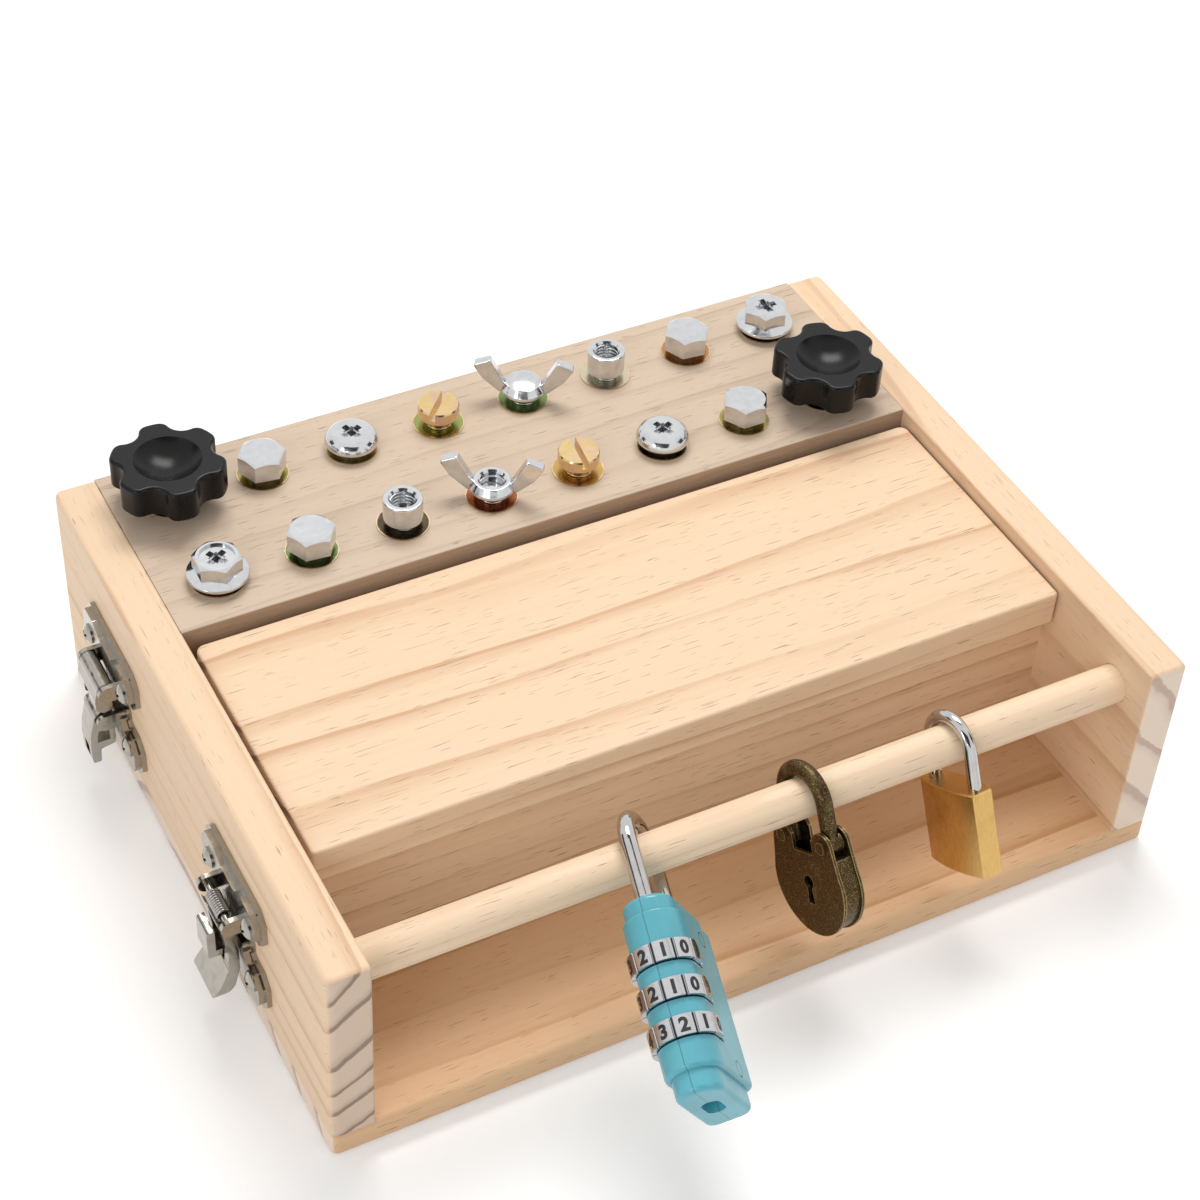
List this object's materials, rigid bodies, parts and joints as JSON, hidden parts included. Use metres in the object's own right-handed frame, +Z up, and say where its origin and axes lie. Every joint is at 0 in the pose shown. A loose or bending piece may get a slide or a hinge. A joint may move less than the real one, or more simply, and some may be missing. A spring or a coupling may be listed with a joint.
{
  "type": "wooden busy board",
  "caption": "Wooden activity case with turning bolts, knobs and wing nuts on a panel, a lift-off storage lid, padlocks on a dowel and box latches on its sides.",
  "frame": {"origin": "centre of the base board's underside, where the case rests", "axes": "+X to the right along the dowel and the rows of fasteners, +Y to the back, +Z up"},
  "size_m": [0.2952, 0.2653, 0.0915],
  "materials": {
    "pine": "satin",
    "tinted_pine": "satin",
    "dowel_wood": "satin",
    "insert_metal": "satin",
    "nickel_plate": "polished",
    "spring_steel": "satin",
    "black_plastic": "gloss",
    "zinc_plate": "polished",
    "yellow_zinc": "satin",
    "brass": "brushed",
    "polished_steel": "polished",
    "aged_bronze": "aged",
    "turquoise_plastic": "satin",
    "dial_metal": "satin"
  },
  "bodies": {
    "board": {"base_board": "pine", "left_wall": "pine", "right_wall": "pine", "tray_wall": "pine", "panel_partition": "pine", "back_wall": "pine", "screw_panel": "tinted_pine", "dowel": "dowel_wood", "threaded_inserts": "insert_metal", "left_front_latch_plate": "nickel_plate", "left_front_latch_hook": "nickel_plate", "left_rear_latch_plate": "nickel_plate", "left_rear_latch_catch": "nickel_plate", "right_front_latch_plate": "nickel_plate", "right_front_latch_hook": "nickel_plate", "right_rear_latch_plate": "nickel_plate", "right_rear_latch_catch": "nickel_plate", "latch_pins": "nickel_plate", "latch_springs": "spring_steel", "latch_screws": "nickel_plate"},
    "lid": {"storage_lid": "pine"},
    "back_star_knob_body": {"back_star_knob": "black_plastic"},
    "back_hex_bolt_left_body": {"back_hex_bolt_left": "zinc_plate"},
    "back_pan_screw_body": {"back_pan_screw": "zinc_plate"},
    "back_slotted_screw_body": {"back_slotted_screw": "yellow_zinc"},
    "back_wing_screw_body": {"back_wing_screw": "zinc_plate"},
    "back_barrel_nut_body": {"back_barrel_nut": "zinc_plate"},
    "back_hex_bolt_right_body": {"back_hex_bolt_right": "zinc_plate"},
    "back_flange_bolt_body": {"back_flange_bolt": "zinc_plate"},
    "front_flange_bolt_body": {"front_flange_bolt": "zinc_plate"},
    "front_hex_bolt_left_body": {"front_hex_bolt_left": "zinc_plate"},
    "front_barrel_nut_body": {"front_barrel_nut": "zinc_plate"},
    "front_wing_nut_body": {"front_wing_nut": "zinc_plate"},
    "front_slotted_screw_body": {"front_slotted_screw": "yellow_zinc"},
    "front_pan_screw_body": {"front_pan_screw": "zinc_plate"},
    "front_hex_bolt_right_body": {"front_hex_bolt_right": "zinc_plate"},
    "front_star_knob_body": {"front_star_knob": "black_plastic"},
    "left_front_latch_lever_body": {"left_front_latch_lever": "nickel_plate"},
    "left_rear_latch_flap_body": {"left_rear_latch_flap": "nickel_plate"},
    "left_rear_latch_lever_body": {"left_rear_latch_lever": "nickel_plate"},
    "right_front_latch_lever_body": {"right_front_latch_lever": "nickel_plate"},
    "right_rear_latch_flap_body": {"right_rear_latch_flap": "nickel_plate"},
    "right_rear_latch_lever_body": {"right_rear_latch_lever": "nickel_plate"},
    "brass_shackle_body": {"brass_lock_shackle": "polished_steel"},
    "brass_lock_case": {"brass_lock_body": "brass", "brass_lock_plug": "brass"},
    "bronze_shackle_body": {"bronze_lock_shackle": "aged_bronze"},
    "bronze_lock_case": {"bronze_lock_front_plate": "aged_bronze", "bronze_lock_back_plate": "aged_bronze", "bronze_lock_band": "aged_bronze", "bronze_lock_rivets": "aged_bronze"},
    "number_shackle_body": {"number_lock_shackle": "polished_steel"},
    "number_lock_case": {"number_lock_front_shell": "turquoise_plastic", "number_lock_rear_shell": "turquoise_plastic", "number_lock_spindle": "spring_steel", "number_lock_rivets": "turquoise_plastic"},
    "number_dial_1_body": {"number_lock_dial_1": "dial_metal"},
    "number_dial_2_body": {"number_lock_dial_2": "dial_metal"},
    "number_dial_3_body": {"number_lock_dial_3": "dial_metal"}
  },
  "joints": [
    {"name": "lid_lift", "type": "slide", "parent": "board", "child": "lid", "axis": [0, 0, 1], "range_m": [0, 0.08]},
    {"name": "back_star_knob_turn", "type": "hinge", "parent": "board", "child": "back_star_knob_body", "pos_m": [-0.1043, 0.0851, 0.078], "axis": [0, 0, 1], "continuous": true},
    {"name": "back_hex_bolt_left_turn", "type": "hinge", "parent": "board", "child": "back_hex_bolt_left_body", "pos_m": [-0.0748, 0.0851, 0.078], "axis": [0, 0, 1], "continuous": true},
    {"name": "back_pan_screw_turn", "type": "hinge", "parent": "board", "child": "back_pan_screw_body", "pos_m": [-0.0453, 0.0851, 0.078], "axis": [0, 0, 1], "continuous": true},
    {"name": "back_slotted_screw_turn", "type": "hinge", "parent": "board", "child": "back_slotted_screw_body", "pos_m": [-0.0158, 0.0851, 0.078], "axis": [0, 0, 1], "continuous": true},
    {"name": "back_wing_screw_turn", "type": "hinge", "parent": "board", "child": "back_wing_screw_body", "pos_m": [0.0137, 0.0851, 0.078], "axis": [0, 0, 1], "continuous": true},
    {"name": "back_barrel_nut_turn", "type": "hinge", "parent": "board", "child": "back_barrel_nut_body", "pos_m": [0.0432, 0.0851, 0.078], "axis": [0, 0, 1], "continuous": true},
    {"name": "back_hex_bolt_right_turn", "type": "hinge", "parent": "board", "child": "back_hex_bolt_right_body", "pos_m": [0.0727, 0.0851, 0.078], "axis": [0, 0, 1], "continuous": true},
    {"name": "back_flange_bolt_turn", "type": "hinge", "parent": "board", "child": "back_flange_bolt_body", "pos_m": [0.1022, 0.0851, 0.078], "axis": [0, 0, 1], "continuous": true},
    {"name": "front_flange_bolt_turn", "type": "hinge", "parent": "board", "child": "front_flange_bolt_body", "pos_m": [-0.1043, 0.0467, 0.078], "axis": [0, 0, 1], "continuous": true},
    {"name": "front_hex_bolt_left_turn", "type": "hinge", "parent": "board", "child": "front_hex_bolt_left_body", "pos_m": [-0.0748, 0.0467, 0.078], "axis": [0, 0, 1], "continuous": true},
    {"name": "front_barrel_nut_turn", "type": "hinge", "parent": "board", "child": "front_barrel_nut_body", "pos_m": [-0.0453, 0.0467, 0.078], "axis": [0, 0, 1], "continuous": true},
    {"name": "front_wing_nut_turn", "type": "hinge", "parent": "board", "child": "front_wing_nut_body", "pos_m": [-0.0158, 0.0467, 0.078], "axis": [0, 0, 1], "continuous": true},
    {"name": "front_slotted_screw_turn", "type": "hinge", "parent": "board", "child": "front_slotted_screw_body", "pos_m": [0.0137, 0.0467, 0.078], "axis": [0, 0, 1], "continuous": true},
    {"name": "front_pan_screw_turn", "type": "hinge", "parent": "board", "child": "front_pan_screw_body", "pos_m": [0.0432, 0.0467, 0.078], "axis": [0, 0, 1], "continuous": true},
    {"name": "front_hex_bolt_right_turn", "type": "hinge", "parent": "board", "child": "front_hex_bolt_right_body", "pos_m": [0.0727, 0.0467, 0.078], "axis": [0, 0, 1], "continuous": true},
    {"name": "front_star_knob_turn", "type": "hinge", "parent": "board", "child": "front_star_knob_body", "pos_m": [0.1022, 0.0467, 0.078], "axis": [0, 0, 1], "continuous": true},
    {"name": "left_front_latch_lever_hinge", "type": "hinge", "parent": "board", "child": "left_front_latch_lever_body", "pos_m": [-0.1414, -0.043, 0.044], "axis": [0, 1, 0], "range_deg": [0, 120], "stiffness_Nm_per_rad": 0.01, "springref_deg": -17.19},
    {"name": "left_rear_latch_flap_hinge", "type": "hinge", "parent": "board", "child": "left_rear_latch_flap_body", "pos_m": [-0.1414, 0.0547, 0.044], "axis": [0, 1, 0], "range_deg": [0, 120]},
    {"name": "left_rear_latch_lever_hinge", "type": "hinge", "parent": "board", "child": "left_rear_latch_lever_body", "pos_m": [-0.142, 0.0547, 0.029], "axis": [0, 1, 0], "range_deg": [0, 110]},
    {"name": "right_front_latch_lever_hinge", "type": "hinge", "parent": "board", "child": "right_front_latch_lever_body", "pos_m": [0.1414, -0.043, 0.044], "axis": [0, -1, 0], "range_deg": [0, 120], "stiffness_Nm_per_rad": 0.01, "springref_deg": -17.19},
    {"name": "right_rear_latch_flap_hinge", "type": "hinge", "parent": "board", "child": "right_rear_latch_flap_body", "pos_m": [0.1414, 0.0547, 0.044], "axis": [0, -1, 0], "range_deg": [0, 120]},
    {"name": "right_rear_latch_lever_hinge", "type": "hinge", "parent": "board", "child": "right_rear_latch_lever_body", "pos_m": [0.142, 0.0547, 0.029], "axis": [0, -1, 0], "range_deg": [0, 110]},
    {"name": "brass_lock_swing", "type": "hinge", "parent": "board", "child": "brass_shackle_body", "pos_m": [0.0646, -0.0891, 0.0599], "axis": [-1, 0, 0], "range_deg": [-68, 200]},
    {"name": "brass_lock_open", "type": "slide", "parent": "brass_shackle_body", "child": "brass_lock_case", "axis": [0, -0.454, -0.891], "range_m": [0, 0.007]},
    {"name": "bronze_lock_swing", "type": "hinge", "parent": "board", "child": "bronze_shackle_body", "pos_m": [0.016, -0.0891, 0.0599], "axis": [-1, 0, 0], "range_deg": [-75, 150]},
    {"name": "bronze_lock_open", "type": "hinge", "parent": "bronze_shackle_body", "child": "bronze_lock_case", "pos_m": [0.01724, -0.10277, 0.05341], "axis": [-0.9903, -0.1217, 0.0675], "range_deg": [0, 75]},
    {"name": "number_lock_swing", "type": "hinge", "parent": "board", "child": "number_shackle_body", "pos_m": [-0.0355, -0.0891, 0.0599], "axis": [-1, 0, 0], "range_deg": [-26.5, 143]},
    {"name": "number_lock_open", "type": "slide", "parent": "number_shackle_body", "child": "number_lock_case", "axis": [-0.204, -0.9444, -0.258], "range_m": [0, 0.007]},
    {"name": "number_dial_1_turn", "type": "hinge", "parent": "number_lock_case", "child": "number_dial_1_body", "pos_m": [-0.04711, -0.12316, 0.0585], "axis": [0.204, 0.9444, 0.258], "continuous": true},
    {"name": "number_dial_2_turn", "type": "hinge", "parent": "number_lock_case", "child": "number_dial_2_body", "pos_m": [-0.04928, -0.13317, 0.05576], "axis": [0.204, 0.9444, 0.258], "continuous": true},
    {"name": "number_dial_3_turn", "type": "hinge", "parent": "number_lock_case", "child": "number_dial_3_body", "pos_m": [-0.05144, -0.14318, 0.05303], "axis": [0.204, 0.9444, 0.258], "continuous": true}
  ]
}
